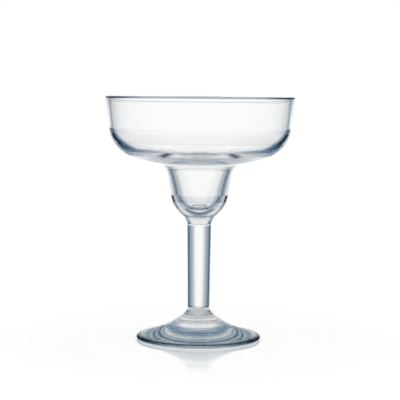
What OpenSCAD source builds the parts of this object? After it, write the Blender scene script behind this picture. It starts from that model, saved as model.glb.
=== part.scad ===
// Margarita glass in three clear glass pieces: a wide dish over a narrow well with a solid boss
// under it, a solid stem that thins downwards, and a conical foot.
// Millimetres, +Z up. The origin is the centre of the foot, on the table.

/* [Dish] */
// Outer radius of the rim, at the widest of its lip
rim_r = 63; // [60:0.5:66]
// Height of the bowl piece, from its joint up to the rim
bowl_h = 85; // [82:0.5:88]
// Height of the rounded lip
lip_h = 2.3; // [1.8:0.1:3]
// How far the lip stands out from the wall under it
lip_out = 0.55; // [0.2:0.05:0.9]
// Thickness of the wall under the lip
wall_t = 1.5; // [1.2:0.1:2]
// Height of the straight outer wall under the lip
wall_h = 19.7; // [17:0.1:21]
// How far the straight outer wall leans in over that height
wall_lean = 2.1; // [1:0.05:3]
// Height of the straight inner wall under the lip
inner_wall_h = 18.3; // [16:0.1:19]
// How far the straight inner wall leans in over that height
inner_lean = 2.25; // [1.4:0.05:2.8]
// Radius at which the underside of the dish starts to turn down into the well
under_r = 31.5; // [30:0.25:35]
// Height of that point over the joint
under_z = 41.3; // [40.6:0.1:42.4]
// Radius at which the floor of the dish starts to turn down into the well
floor_r = 26; // [24.5:0.25:29]
// Height of that point over the joint
floor_z = 45; // [44.2:0.1:47]

/* [Well] */
// Inner radius of the well just under its rounded mouth
mouth_r = 19.4; // [18:0.1:20]
// Height of that point over the joint
mouth_z = 40; // [38:0.1:42]
// Inner radius of the well where its round bottom starts
well_r = 14.1; // [12:0.1:15]
// Height of that point over the joint
well_z = 19.9; // [18:0.1:22]
// Height of the bottom of the well over the joint
well_floor_z = 10.9; // [10:0.1:13]
// Outer radius of the well under its shoulder
shoulder_r = 22; // [21.4:0.1:23]
// Height of that point over the joint
shoulder_z = 35.3; // [34:0.1:36.5]
// Outer radius of the well where it turns in to the collar
waist_r = 19.2; // [18.5:0.1:20]
// Height of that point over the joint
waist_z = 19.5; // [18:0.1:21]

/* [Stem and joints] */
// Outer radius of the collar at its top, where the well's round bottom meets it
collar_r = 9.8; // [9.2:0.1:11]
// Height of the collar
collar_h = 4.6; // [4:0.1:6]
// Radius of the stem at its upper end and of the joint there
stem_top_r = 7.95; // [7.4:0.05:8.8]
// Radius of the stem at its lower end and of the joint there
stem_foot_r = 7.3; // [6.5:0.05:7.8]
// Length of the stem between its two joints
stem_l = 56.2; // [40:0.2:80]
// Radius of the round edge on each side of a joint
joint_round = 0.6; // [0.3:0.05:0.9]

/* [Foot] */
// Radius of the foot at its widest
foot_r = 41.5; // [38:0.5:46]
// Height of the foot piece, from the table up to its joint
foot_h = 21.3; // [18:0.1:24]
// Radius at which the neck's sweep has become the cone of the foot
sweep_r = 20; // [18:0.5:22]
// Height of that point over the table
sweep_z = 10; // [9:0.1:11]
// Thickness of the foot at its rounded edge
edge_t = 2.4; // [2:0.1:2.9]
// Width of the flat ring that the glass stands on
stand_w = 6; // [4:0.5:8]
// Height of the hollow under the foot, at its centre
hollow_h = 1.6; // [1:0.1:2.4]
// Radius of the innermost ring groove in that hollow
groove_r = 10.6; // [9:0.2:12]
// Distance from one ring groove to the next
groove_step = 4.2; // [3:0.1:4.4]
// Radius of a groove's round section
groove_round = 0.6; // [0.3:0.05:0.8]
// Number of ring grooves
groove_count = 6; // [1:1:6]

/* [Hidden] */
bend_steps = 14;
round_steps = 6;
$fn = 144;

bowl_joint_z = foot_h + stem_l;
wall_top_r = rim_r - lip_out;
wall_top_z = bowl_h - lip_h;
wall_end = [wall_top_r - wall_lean, wall_top_z - wall_h];
wall_angle = atan2(wall_h, wall_lean);
inner_top_r = wall_top_r - wall_t;
inner_end = [inner_top_r - inner_lean, wall_top_z - inner_wall_h];
inner_angle = atan2(inner_wall_h, inner_lean);
well_angle = atan2(mouth_z - well_z, mouth_r - well_r);
collar_angle = atan2(collar_h, collar_r - stem_top_r);
hollow_r = foot_r - edge_t / 2 - stand_w;

// Angles, in degrees over the level, at which the bends leave and arrive
under_angle = 9;
floor_angle = 4;
turn_angle = 37;
waist_angle = 87;
shoulder_angle = 74;
sweep_angle = 29;
edge_angle = 6;

// Length of a bend's two pulls as a share of the distance between its ends
dish_share = 0.40;
inner_share = 0.40;
lip_share = 0.39;
turn_share = 0.36;
well_floor_share = 0.42;
shoulder_share = 0.40;
mouth_share = 0.36;
sweep_share = 0.20;
cone_share = 0.28;

function heading(angle) = [cos(angle), sin(angle)];

// A bend from a to b that leaves a at one angle and arrives at b at another. The point b itself is
// left to the stretch that follows.
function bend(a, leave, b, arrive, share) = let (
        pull = norm(b - a) * share,
        p = a + pull * heading(leave),
        q = b - pull * heading(arrive))
    [for (i = [0 : bend_steps - 1]) let (t = i / bend_steps, s = 1 - t)
        s*s*s * a + 3*s*s*t * p + 3*s*t*t * q + t*t*t * b];

// A round of radius r about the centre c, from one angle to the next
function round_off(c, r, from, to) =
    [for (i = [0 : round_steps]) c + r * heading(from + (to - from) * i / round_steps)];

// The lip: out over the wall, round over the top and down to the inner wall
function lip() = let (
        outer = [rim_r, bowl_h - lip_h / 2],
        crown = [(rim_r + inner_top_r) / 2, bowl_h],
        inner = [inner_top_r, bowl_h - lip_h / 2])
    concat(
        bend([wall_top_r, wall_top_z], wall_angle, outer, 90, lip_share),
        bend(outer, 90, crown, 180, lip_share),
        bend(crown, 180, inner, 270, lip_share),
        [inner]);

function bowl_outside() = concat(
    [[0, 0]],
    round_off([stem_top_r - joint_round, joint_round], joint_round, -90, collar_angle - 90),
    bend([collar_r, collar_h], turn_angle, [waist_r, waist_z], waist_angle, turn_share),
    bend([waist_r, waist_z], waist_angle, [shoulder_r, shoulder_z], shoulder_angle, turn_share),
    bend([shoulder_r, shoulder_z], shoulder_angle, [under_r, under_z], under_angle, shoulder_share),
    bend([under_r, under_z], under_angle, wall_end, wall_angle, dish_share),
    [wall_end]);

function bowl_inside() = concat(
    bend(inner_end, inner_angle + 180, [floor_r, floor_z], floor_angle + 180, inner_share),
    bend([floor_r, floor_z], floor_angle + 180, [mouth_r, mouth_z], well_angle + 180, mouth_share),
    [[mouth_r, mouth_z]],
    bend([well_r, well_z], well_angle + 180, [0, well_floor_z], 180, well_floor_share),
    [[0, well_floor_z]]);

module bowl() {
    color([0.86, 0.92, 0.95, 0.35])
        translate([0, 0, bowl_joint_z])
            rotate_extrude()
                polygon(concat(bowl_outside(), lip(), bowl_inside()));
}

module stem() {
    color([0.86, 0.92, 0.95, 0.35])
        translate([0, 0, foot_h])
            rotate_extrude()
                polygon(concat(
                    [[0, 0]],
                    round_off([stem_foot_r - joint_round, joint_round], joint_round, -90, 0),
                    round_off([stem_top_r - joint_round, stem_l - joint_round], joint_round, 0, 90),
                    [[0, stem_l]]));
}

// Half the foot's section: hollow underneath, standing ring, rounded edge, cone, sweep and neck
function foot_section() = let (
        edge_round = edge_t / 2,
        edge_top = [foot_r - edge_round, edge_t],
        neck_top = [stem_foot_r, foot_h - joint_round])
    concat(
        [[0, hollow_h]],
        [[hollow_r, 0]],
        round_off([foot_r - edge_round, edge_round], edge_round, -90, 90 - edge_angle),
        bend(edge_top, 180 - edge_angle, [sweep_r, sweep_z], 180 - sweep_angle, cone_share),
        bend([sweep_r, sweep_z], 180 - sweep_angle, neck_top, 90, sweep_share),
        round_off([stem_foot_r - joint_round, foot_h - joint_round], joint_round, 0, 90),
        [[0, foot_h]]);

module foot() {
    color([0.86, 0.92, 0.95, 0.35])
        difference() {
            rotate_extrude() polygon(foot_section());
            for (i = [0 : groove_count - 1])
                let (r = groove_r + i * groove_step, z = hollow_h * (1 - r / hollow_r))
                    rotate_extrude() translate([r, z]) circle(r = groove_round);
        }
}

bowl();
stem();
foot();
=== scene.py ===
"""Margarita glass on a white studio floor. Lengths are in millimetres until MM turns them into metres."""
import math

import bmesh
import bpy
from mathutils import Euler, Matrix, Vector


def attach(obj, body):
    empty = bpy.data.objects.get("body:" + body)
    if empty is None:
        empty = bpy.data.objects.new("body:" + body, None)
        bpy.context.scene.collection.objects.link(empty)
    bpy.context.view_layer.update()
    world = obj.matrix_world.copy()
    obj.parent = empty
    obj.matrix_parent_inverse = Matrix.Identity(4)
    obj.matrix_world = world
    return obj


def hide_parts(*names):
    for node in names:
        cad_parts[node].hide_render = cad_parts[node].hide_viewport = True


MM = 0.001

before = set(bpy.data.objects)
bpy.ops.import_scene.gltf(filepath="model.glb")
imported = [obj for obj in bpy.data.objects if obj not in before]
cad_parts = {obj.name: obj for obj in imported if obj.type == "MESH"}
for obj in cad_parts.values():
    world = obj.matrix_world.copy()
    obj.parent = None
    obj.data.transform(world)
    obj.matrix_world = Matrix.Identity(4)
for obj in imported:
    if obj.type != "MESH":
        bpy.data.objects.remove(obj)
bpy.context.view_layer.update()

# Dish, as in the part's source
RIM_R = 63.0
BOWL_H = 85.0
LIP_H = 2.3
LIP_OUT = 0.55
WALL_T = 1.5
WALL_H = 19.7
WALL_LEAN = 2.1
INNER_WALL_H = 18.3
INNER_LEAN = 2.25
UNDER = (31.5, 41.3)
FLOOR = (26.0, 45.0)

# Well
MOUTH = (19.4, 40.0)
WELL = (14.1, 19.9)
WELL_FLOOR_Z = 10.9
SHOULDER = (22.0, 35.3)
WAIST = (19.2, 19.5)

# Stem and joints. The visible pieces stop short of each joint by its gap.
COLLAR = (9.8, 4.6)
STEM_TOP_R = 7.95
STEM_FOOT_R = 7.3
STEM_L = 56.2
JOINT_ROUND = 0.6
JOINT_GAP = 0.02

# Foot
FOOT_R = 41.5
FOOT_H = 21.3
SWEEP = (20.0, 10.0)
EDGE_T = 2.4
STAND_W = 6.0
HOLLOW_H = 1.6
GROOVE_R = 10.6
GROOVE_STEP = 4.2
GROOVE_ROUND = 0.6
GROOVES = 6

# Angles, in degrees over the level, at which the bends leave and arrive
UNDER_ANGLE = 9
FLOOR_ANGLE = 4
TURN_ANGLE = 37
WAIST_ANGLE = 87
SHOULDER_ANGLE = 74
SWEEP_ANGLE = 29
EDGE_ANGLE = 6

# Length of a bend's two pulls as a share of the distance between its ends
DISH_SHARE = 0.40
INNER_SHARE = 0.40
LIP_SHARE = 0.39
TURN_SHARE = 0.36
WELL_FLOOR_SHARE = 0.42
SHOULDER_SHARE = 0.40
MOUTH_SHARE = 0.36
SWEEP_SHARE = 0.20
CONE_SHARE = 0.28

# Fineness of the meshes
BEND_STEPS = 28
LIP_STEPS = 8
ROUND_STEPS = 6
GROOVE_STEPS = 12
EDGE_STEPS = 16
SEGMENTS = 192
SHARP_ANGLE = 25
ON_AXIS = 1e-9


def heading(angle):
    return Vector((math.cos(math.radians(angle)), math.sin(math.radians(angle))))


def bend(a, leave, b, arrive, share, steps=BEND_STEPS):
    """Points of a curve from a to b that leaves a at one angle and arrives at b at another"""
    a = Vector(a)
    b = Vector(b)
    pull = (b - a).length * share
    p = a + pull * heading(leave)
    q = b - pull * heading(arrive)
    out = []
    for i in range(steps + 1):
        t = i / steps
        s = 1 - t
        out.append(s**3 * a + 3 * s * s * t * p + 3 * s * t * t * q + t**3 * b)
    return out


def round_off(c, r, start, end, steps=ROUND_STEPS):
    c = Vector(c)
    return [c + r * heading(start + (end - start) * i / steps) for i in range(steps + 1)]


def slope(a, b):
    return math.degrees(math.atan2(b[1] - a[1], b[0] - a[0]))


def bowl_profile():
    wall_top = (RIM_R - LIP_OUT, BOWL_H - LIP_H)
    wall_end = (wall_top[0] - WALL_LEAN, wall_top[1] - WALL_H)
    wall_angle = slope(wall_end, wall_top)
    inner_top_r = wall_top[0] - WALL_T
    inner_end = (inner_top_r - INNER_LEAN, wall_top[1] - INNER_WALL_H)
    inner_angle = slope(inner_end, (inner_top_r, wall_top[1])) + 180
    floor_angle = FLOOR_ANGLE + 180
    well_angle = slope(WELL, MOUTH) + 180
    collar_angle = slope((STEM_TOP_R, 0), COLLAR)
    lip_z = BOWL_H - LIP_H / 2
    outer = (RIM_R, lip_z)
    crown = ((RIM_R + inner_top_r) / 2, BOWL_H)
    inner = (inner_top_r, lip_z)
    joint_edge = (STEM_TOP_R - JOINT_ROUND, JOINT_ROUND + JOINT_GAP)
    points = [Vector((0, JOINT_GAP))]
    points += round_off(joint_edge, JOINT_ROUND, -90, collar_angle - 90)
    points += bend(COLLAR, TURN_ANGLE, WAIST, WAIST_ANGLE, TURN_SHARE)
    points += bend(WAIST, WAIST_ANGLE, SHOULDER, SHOULDER_ANGLE, TURN_SHARE)[1:]
    points += bend(SHOULDER, SHOULDER_ANGLE, UNDER, UNDER_ANGLE, SHOULDER_SHARE)[1:]
    points += bend(UNDER, UNDER_ANGLE, wall_end, wall_angle, DISH_SHARE)[1:]
    points += bend(wall_top, wall_angle, outer, 90, LIP_SHARE, LIP_STEPS)
    points += bend(outer, 90, crown, 180, LIP_SHARE, LIP_STEPS)[1:]
    points += bend(crown, 180, inner, 270, LIP_SHARE, LIP_STEPS)[1:]
    points += bend(inner_end, inner_angle, FLOOR, floor_angle, INNER_SHARE)
    points += bend(FLOOR, floor_angle, MOUTH, well_angle, MOUTH_SHARE)[1:]
    points += bend(WELL, well_angle, (0, WELL_FLOOR_Z), 180, WELL_FLOOR_SHARE)
    return points


def stem_profile():
    lower_edge = (STEM_FOOT_R - JOINT_ROUND, JOINT_ROUND + JOINT_GAP)
    upper_edge = (STEM_TOP_R - JOINT_ROUND, STEM_L - JOINT_ROUND - JOINT_GAP)
    points = [Vector((0, JOINT_GAP))]
    points += round_off(lower_edge, JOINT_ROUND, -90, 0)
    points += round_off(upper_edge, JOINT_ROUND, 0, 90)
    points += [Vector((0, STEM_L - JOINT_GAP))]
    return points


def foot_profile():
    edge_round = EDGE_T / 2
    edge_centre = (FOOT_R - edge_round, edge_round)
    edge_top = (FOOT_R - edge_round, EDGE_T)
    hollow_r = FOOT_R - edge_round - STAND_W
    neck_top = (STEM_FOOT_R, FOOT_H - JOINT_ROUND)
    joint_edge = (STEM_FOOT_R - JOINT_ROUND, FOOT_H - JOINT_ROUND - JOINT_GAP)
    points = [Vector((0, HOLLOW_H))]
    for i in range(GROOVES):
        r = GROOVE_R + i * GROOVE_STEP
        z = HOLLOW_H * (1 - r / hollow_r)
        points += round_off((r, z), GROOVE_ROUND, 180, 0, GROOVE_STEPS)
    points += [Vector((hollow_r, 0))]
    points += round_off(edge_centre, edge_round, -90, 90 - EDGE_ANGLE, EDGE_STEPS)
    points += bend(edge_top, 180 - EDGE_ANGLE, SWEEP, 180 - SWEEP_ANGLE, CONE_SHARE)
    points += bend(SWEEP, 180 - SWEEP_ANGLE, neck_top, 90, SWEEP_SHARE)[1:]
    points += round_off(joint_edge, JOINT_ROUND, 0, 90)[1:]
    points += [Vector((0, FOOT_H - JOINT_GAP))]
    return points


def lathe(name, profile, base_z, material):
    """A closed mesh turned from half a section, which starts and ends on the axis"""
    bm = bmesh.new()
    rings = []
    for r, z in profile:
        z = (base_z + z) * MM
        if r < ON_AXIS:
            rings.append([bm.verts.new((0, 0, z))])
            continue
        ring = []
        for i in range(SEGMENTS):
            a = 2 * math.pi * i / SEGMENTS
            ring.append(bm.verts.new((r * MM * math.cos(a), r * MM * math.sin(a), z)))
        rings.append(ring)
    for low, high in zip(rings, rings[1:]):
        for i in range(SEGMENTS):
            j = (i + 1) % SEGMENTS
            if len(low) == 1:
                bm.faces.new((low[0], high[j], high[i]))
            elif len(high) == 1:
                bm.faces.new((low[i], low[j], high[0]))
            else:
                bm.faces.new((low[i], low[j], high[j], high[i]))
    bmesh.ops.recalc_face_normals(bm, faces=bm.faces)
    mesh = bpy.data.meshes.new(name)
    bm.to_mesh(mesh)
    bm.free()
    for polygon in mesh.polygons:
        polygon.use_smooth = True
    mesh.set_sharp_from_angle(angle=math.radians(SHARP_ANGLE))
    piece = bpy.data.objects.new(name, mesh)
    bpy.context.scene.collection.objects.link(piece)
    mesh.materials.append(material)
    return piece


def new_material(name):
    material = bpy.data.materials.new(name)
    material.use_nodes = True
    nodes = material.node_tree.nodes
    nodes.clear()
    return material, nodes, material.node_tree.links


def link_math(nodes, links, operation, *values):
    node = nodes.new("ShaderNodeMath")
    node.operation = operation
    for socket, value in zip(node.inputs, values):
        if isinstance(value, (int, float)):
            socket.default_value = value
        else:
            links.new(value, socket)
    return node.outputs[0]


def vector_math(nodes, links, operation, *values):
    node = nodes.new("ShaderNodeVectorMath")
    node.operation = operation
    for socket, value in zip(node.inputs, values):
        if isinstance(value, tuple):
            socket.default_value = value
        else:
            links.new(value, socket)
    return node


def mix_color(nodes, links, factor, a, b):
    node = nodes.new("ShaderNodeMixRGB")
    links.new(factor, node.inputs[0])
    for socket, value in ((node.inputs[1], a), (node.inputs[2], b)):
        if isinstance(value, tuple):
            socket.default_value = (*value, 1)
        else:
            links.new(value, socket)
    return node.outputs[0]


def map_range(nodes, links, value, low, high):
    """0 under the low value and 1 over the high one, with a soft step between them"""
    node = nodes.new("ShaderNodeMapRange")
    node.interpolation_type = "SMOOTHSTEP"
    node.inputs["From Min"].default_value = low
    node.inputs["From Max"].default_value = high
    links.new(value, node.inputs["Value"])
    return node.outputs[0]


def ramp(nodes, links, factor, stops):
    node = nodes.new("ShaderNodeValToRGB")
    links.new(factor, node.inputs[0])
    elements = node.color_ramp.elements
    while len(elements) > 1:
        elements.remove(elements[-1])
    for i, (where, color) in enumerate(stops):
        element = elements[0] if i == 0 else elements.new(where)
        element.position = where
        element.color = (*color, 1)
    return node.outputs[0]


def split_position(nodes, links):
    """Height in the object's own frame, and the place over the ground as a vector"""
    coords = nodes.new("ShaderNodeTexCoord")
    split = nodes.new("ShaderNodeSeparateXYZ")
    links.new(coords.outputs["Object"], split.inputs[0])
    ground = nodes.new("ShaderNodeCombineXYZ")
    links.new(split.outputs["X"], ground.inputs[0])
    links.new(split.outputs["Y"], ground.inputs[1])
    return split.outputs["Z"], ground.outputs[0]


# How fast the painted shade on the glass turns blue as it darkens: powers on red and blue, and how soon they
# reach their full depth
RED_POWER = 0.28
BLUE_POWER = 0.2
DEEPENING = 1.3
WHITE = (1.0, 1.0, 1.0)


def shade(level, blue=1.0):
    """A grey of the given level, bluer the darker it is"""
    depth = blue * min(1, DEEPENING * (1 - level))
    return level ** (1 + RED_POWER * depth), level, level ** (1 - BLUE_POWER * depth)


def zone(top, blend, stops, blue=1, slant=0, slant_z=0):
    """A stretch of the outside up to the height top, which blends into the next over the length blend.

    Each stop is a turn from the eye and the level of painted shade there: dark lines and pale bands in place
    of the dark surroundings that the glass would refract and mirror. The turn counts more, by slant, for
    each millimetre under the height slant_z.
    """
    return top, blend, stops, blue, slant, slant_z


# Forms of the glass from the lowest up. The stops are rounded, one for each dark line or pale band of
# painted shade on that form.
BOWL_SHADE_ZONES = [
    # Collar, boss, waist
    zone(79.5, 0.6, [(0.3, 0.8), (0.42, 0.5), (0.56, 0.15), (0.75, 0.4)]),
    zone(83, 0.6, [(0.35, 0.8), (0.5, 0.5), (0.75, 0.4)]),
    zone(88.4, 0.8, [(0.28, 0.9), (0.35, 0.15), (0.52, 0.8), (0.72, 0.35), (0.9, 0.65)]),
    zone(92.4, 0.8, [(0.15, 0.95), (0.25, 0.3), (0.5, 0.75), (0.68, 0.15), (0.8, 0.6)]),
    zone(97, 0.8, [(0, 0.85), (0.16, 0.65), (0.28, 0.18), (0.52, 0.6), (0.61, 0.02), (0.7, 0.02),
                   (0.8, 0.6)]),
    # Wall of the well, shoulder
    zone(115, 1, [(0.15, 0.95), (0.32, 0.8), (0.4, 0.5), (0.48, 0.42), (0.54, 0.18), (0.65, 0.4),
                  (0.8, 0.85)],
         slant=0.0095, slant_z=115),
    zone(116.5, 1, [(0.5, 0.8), (0.64, 0.4), (0.84, 0.7)]),
    zone(118.6, 0.6, [(0.5, 0.98), (0.8, 0.8), (1, 0.95)]),
    # Underside of the dish
    zone(123.4, 0.6, [(0.6, 0.6), (0.7, 0.7), (0.77, 0.9)], blue=1.3, slant=-0.065, slant_z=123.3),
    zone(126.4, 0.5, [(0.44, 0.7), (0.5, 0.95), (0.53, 0.05), (0.56, 0.8), (0.84, 0.4), (1, 0.75)],
         blue=1.3, slant=-0.065, slant_z=125.5),
    zone(128.5, 0.6, [(0.34, 0.95), (0.5, 0.45), (0.7, 0.2), (0.82, 0.35), (0.95, 0.8)], blue=1.3),
    # Turn into the wall
    zone(131.5, 0.6, [(0.3, 0.95), (0.52, 0.75), (0.6, 0.2), (0.74, 0.07), (0.86, 0.65), (1, 1)], blue=1.15),
    zone(138.2, 1.5, [(0.1, 0.9), (0.55, 0.75), (0.64, 0.25), (0.71, 0.02), (0.78, 0.05), (0.86, 0.85)],
         blue=1.15, slant=0.012, slant_z=135.5),
    zone(141.4, 0.4, [(0, 0.95), (0.35, 0.87), (0.6, 0.65), (0.7, 0.2), (0.78, 0.18), (0.88, 0.8)],
         slant=0.012, slant_z=139),
    # Wall, painted dark line under the rim, rim
    zone(160.9, 0.3, [(0, 0.98), (0.35, 0.93), (0.5, 0.85), (0.66, 0.65), (0.75, 0.35), (0.85, 0.95)]),
    zone(162.1, 0.2, [(0.2, 0.45), (0.45, 0.12), (0.7, 0.02), (0.85, 0.25), (0.95, 0.5)]),
    zone(171, 1, [(0, 0.5), (0.4, 0.85), (0.66, 1)]),
]
# Painted shade on the stem, darker towards its edges by the turn from the eye
STEM_SHADE_ZONES = [
    zone(76.7, 0.4, [(0.03, 0.95), (0.16, 0.5), (0.4, 0.26), (0.57, 0.1), (0.75, 0.35), (1, 0.6)]),
    zone(81, 1, [(0, 0.95), (1, 0.8)]),
]
# Painted shade and painted rings on the foot, by the turn from the eye
FOOT_SHADE_ZONES = [
    # Standing ring and round edge
    zone(1, 0.3, [(0, 0.6)]),
    zone(2.2, 0.3, [(0, 0.5), (0.2, 0.25), (0.5, 0.03)]),
    zone(2.6, 0.2, [(0.4, 0.3), (0.6, 0.04), (0.7, 0.1), (0.77, 0.03), (0.82, 0.5)]),
    # Cone, with stops for painted rings in place of the grooves seen through it
    zone(3.3, 0.4, [(0.5, 0.5), (0.74, 0.4), (0.8, 0.75)]),
    zone(8.2, 0.8, [(0.3, 0.3), (0.4, 0.45), (0.5, 0.8), (0.56, 0.42), (0.6, 0.6), (0.65, 0.14),
                    (0.71, 0.6), (0.755, 0.2), (0.8, 0.6), (0.84, 0.45)],
         blue=1.25, slant=0.06, slant_z=5.2),
    # Sweep and neck
    zone(10.2, 0.8, [(0.36, 0.6), (0.5, 0.3), (0.75, 0.4), (1, 1)], blue=1.25),
    zone(12, 0.8, [(0.42, 0.85), (0.62, 0.4), (0.75, 0.5), (0.86, 0.85)], blue=0.8),
    zone(13.8, 0.5, [(0.3, 0.7), (0.6, 0.5), (0.86, 0.8)], blue=0.6),
    zone(14.9, 0.4, [(0.5, 1), (0.65, 0.75), (0.86, 0.95)], blue=0.6),
    zone(16.6, 0.4, [(0.2, 0.75), (0.75, 0.7), (0.9, 0.95)], blue=0.6),
    zone(18.2, 0.3, [(0, 1), (0.25, 0.55), (0.6, 0.38), (0.85, 0.8)], blue=0.6),
    zone(19.3, 0.4, [(0, 0.7), (0.5, 0.3), (0.8, 0.35), (1, 0.6)], blue=0.6),
    zone(20.1, 0.3, [(0, 0.8), (0.5, 0.6)], blue=0.6),
    zone(31, 2, [(0, 0.85), (0.55, 0.95), (0.9, 0.6)], blue=0.6),
]
# Painted shade inside the glass: the level left each time it mirrors from within, so that light mirrored
# many times grows darker and bluer
BOWL_MIRROR_SHADE = 0.985
STEM_MIRROR_SHADE = 0.97
FOOT_MIRROR_SHADE = 0.95

# Glass seen from within: the turn at which it starts to mirror, and how quickly the level changes there
MIRROR_TURN = 0.25
MIRROR_EDGE = 0.012

IOR = 1.5
EVEN_BLEND = 0.5
# A face counts as outside where its normal leans more than this towards the outward direction
OUTSIDE_LEAN = 0.02
# The inner side is left clear up to here, so that the rim still shows from above
CLEAR_TOP = 161.8


def painted_outside_shade(nodes, links, facing, height, zones):
    """Painted shade on the outside: the ramps of all the zones, each blended into the next by height"""
    tint = None
    share = None
    for top, blend, stops, blue, slant, slant_z in zones:
        turn = facing
        if slant:
            under = link_math(nodes, links, "SUBTRACT", slant_z * MM, height)
            turn = link_math(nodes, links, "MULTIPLY_ADD", under, slant / MM, facing)
        own = ramp(nodes, links, turn, [(where, shade(level, blue)) for where, level in stops])
        tint = own if tint is None else mix_color(nodes, links, share, tint, own)
        share = map_range(nodes, links, height, (top - blend / 2) * MM, (top + blend / 2) * MM)
    return tint


def clear_side(nodes, links, ground, height, up):
    """1 on the faces that are left clear, which look away from the outward and upward direction"""
    geometry = nodes.new("ShaderNodeNewGeometry")
    outward = vector_math(nodes, links, "NORMALIZE", ground).outputs["Vector"]
    outward = vector_math(nodes, links, "SUBTRACT", outward, (0, 0, -up)).outputs["Vector"]
    lean = vector_math(nodes, links, "DOT_PRODUCT", geometry.outputs["Normal"], outward).outputs["Value"]
    clear = link_math(nodes, links, "LESS_THAN", lean, OUTSIDE_LEAN)
    under_rim = link_math(nodes, links, "LESS_THAN", height, CLEAR_TOP * MM)
    clear = link_math(nodes, links, "MULTIPLY", clear, under_rim)
    return clear, geometry.outputs["Backfacing"]


def glass(name, zones, mirror_shade_level, up):
    """Clear glass with painted shade: dark lines and pale bands on the outside by the turn from the eye, and
    a little darker each time it mirrors within. Up is 1 where the outside looks up, -1 where it looks down
    and 0 for an upright wall.
    """
    material, nodes, links = new_material(name)
    out = nodes.new("ShaderNodeOutputMaterial")
    shader = nodes.new("ShaderNodeBsdfGlass")
    shader.inputs["Roughness"].default_value = 0
    shader.inputs["IOR"].default_value = IOR
    weight = nodes.new("ShaderNodeLayerWeight")
    weight.inputs["Blend"].default_value = EVEN_BLEND
    facing = weight.outputs["Facing"]
    height, ground = split_position(nodes, links)
    # Painted shade on the outside, by the turn from the eye and the height
    outside = painted_outside_shade(nodes, links, facing, height, zones)
    clear, from_within = clear_side(nodes, links, ground, height, up)
    outside = mix_color(nodes, links, clear, outside, WHITE)
    # Painted shade: darker and bluer each time the glass mirrors from within
    stops = [(MIRROR_TURN, WHITE), (MIRROR_TURN + MIRROR_EDGE, shade(mirror_shade_level))]
    inner_mirror_shade = ramp(nodes, links, facing, stops)
    links.new(mix_color(nodes, links, from_within, outside, inner_mirror_shade), shader.inputs["Color"])
    links.new(shader.outputs["BSDF"], out.inputs["Surface"])
    return material


# Floor. It lies a little under the foot, and glass sees it white apart from a painted shade on the part
# under the foot.
FLOOR_HALF = 4000
FLOOR_DROP = 0.03
FLOOR_GLOSS = 0.45
FLOOR_ROUGH = 0.03
FLOOR_LIFT = 0.04
GLOSS_END = (50, 130)
UNDER_FOOT_SHADE = 0.65
UNDER_FOOT = (38.5, 40.5)


def shadow_floor(nodes, links, radius):
    """What the camera sees: white that keeps the shadow, with a gloss that fades around the foot"""
    diffuse = nodes.new("ShaderNodeBsdfDiffuse")
    diffuse.inputs["Color"].default_value = (*WHITE, 1)
    glossy = nodes.new("ShaderNodeBsdfGlossy")
    glossy.inputs["Color"].default_value = (*WHITE, 1)
    glossy.inputs["Roughness"].default_value = FLOOR_ROUGH
    fade = map_range(nodes, links, radius, GLOSS_END[0] * MM, GLOSS_END[1] * MM)
    gloss = link_math(nodes, links, "MULTIPLY_ADD", fade, -FLOOR_GLOSS, FLOOR_GLOSS)
    mix = nodes.new("ShaderNodeMixShader")
    links.new(gloss, mix.inputs[0])
    links.new(diffuse.outputs["BSDF"], mix.inputs[1])
    links.new(glossy.outputs["BSDF"], mix.inputs[2])
    lift = nodes.new("ShaderNodeEmission")
    lift.inputs["Strength"].default_value = FLOOR_LIFT
    add = nodes.new("ShaderNodeAddShader")
    links.new(mix.outputs["Shader"], add.inputs[0])
    links.new(lift.outputs["Emission"], add.inputs[1])
    return add.outputs["Shader"]


def floor_material():
    material, nodes, links = new_material("floor_white")
    out = nodes.new("ShaderNodeOutputMaterial")
    ground = split_position(nodes, links)[1]
    radius = vector_math(nodes, links, "LENGTH", ground).outputs["Value"]
    # Painted shade: glass sees the floor under the foot darker
    under = map_range(nodes, links, radius, UNDER_FOOT[0] * MM, UNDER_FOOT[1] * MM)
    seen = nodes.new("ShaderNodeEmission")
    links.new(mix_color(nodes, links, under, shade(UNDER_FOOT_SHADE), WHITE), seen.inputs["Color"])
    path = nodes.new("ShaderNodeLightPath")
    by_glass = link_math(
        nodes, links, "MAXIMUM", path.outputs["Is Glossy Ray"], path.outputs["Is Transmission Ray"])
    pick = nodes.new("ShaderNodeMixShader")
    links.new(by_glass, pick.inputs[0])
    links.new(shadow_floor(nodes, links, radius), pick.inputs[1])
    links.new(seen.outputs["Emission"], pick.inputs[2])
    links.new(pick.outputs["Shader"], out.inputs["Surface"])
    return material


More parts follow.
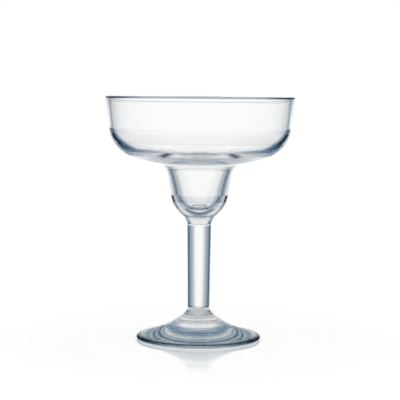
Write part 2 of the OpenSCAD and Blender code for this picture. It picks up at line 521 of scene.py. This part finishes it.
def make_floor():
    bm = bmesh.new()
    bmesh.ops.create_grid(bm, x_segments=1, y_segments=1, size=FLOOR_HALF * MM)
    mesh = bpy.data.meshes.new("floor")
    bm.to_mesh(mesh)
    bm.free()
    floor = bpy.data.objects.new("floor", mesh)
    floor.location.z = -FLOOR_DROP * MM
    bpy.context.scene.collection.objects.link(floor)
    mesh.materials.append(floor_material())


def make_world():
    """Even white light from all sides"""
    world = bpy.data.worlds.new("studio")
    world.use_nodes = True
    world.node_tree.nodes["Background"].inputs["Color"].default_value = (*WHITE, 1)
    bpy.context.scene.world = world


# The photo's view: lens in millimetres, place, and angles in degrees
LENS = 117
CAMERA_AT = (-0.2, -868, 161)
CAMERA_DOWN = 4.46
CAMERA_ROLL = -0.5
CLIP_START = 10


def make_camera():
    data = bpy.data.cameras.new("camera")
    data.lens = LENS
    data.clip_start = CLIP_START * MM
    camera = bpy.data.objects.new("camera", data)
    bpy.context.scene.collection.objects.link(camera)
    camera.location = Vector(CAMERA_AT) * MM
    camera.rotation_euler = Euler((math.radians(90 - CAMERA_DOWN), math.radians(CAMERA_ROLL), 0), "XYZ")
    bpy.context.scene.camera = camera


# Light crosses many faces of the three pieces before it leaves them
BOUNCES = 64
GLOSSY_BOUNCES = 32

scene = bpy.context.scene
scene.view_settings.view_transform = "Standard"
scene.cycles.max_bounces = BOUNCES
scene.cycles.transmission_bounces = BOUNCES
scene.cycles.glossy_bounces = GLOSSY_BOUNCES
make_world()
make_camera()
make_floor()
bowl_glass = glass("bowl_glass", BOWL_SHADE_ZONES, BOWL_MIRROR_SHADE, -1)
stem_glass = glass("stem_glass", STEM_SHADE_ZONES, STEM_MIRROR_SHADE, 0)
foot_glass = glass("foot_glass", FOOT_SHADE_ZONES, FOOT_MIRROR_SHADE, 1)
bowl = lathe("bowl_glass", bowl_profile(), FOOT_H + STEM_L, bowl_glass)
stem = lathe("stem_glass", stem_profile(), FOOT_H, stem_glass)
foot = lathe("foot_glass", foot_profile(), 0, foot_glass)
for piece, node in ((bowl, "bowl"), (stem, "stem"), (foot, "foot")):
    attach(piece, "root")
    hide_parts(node)
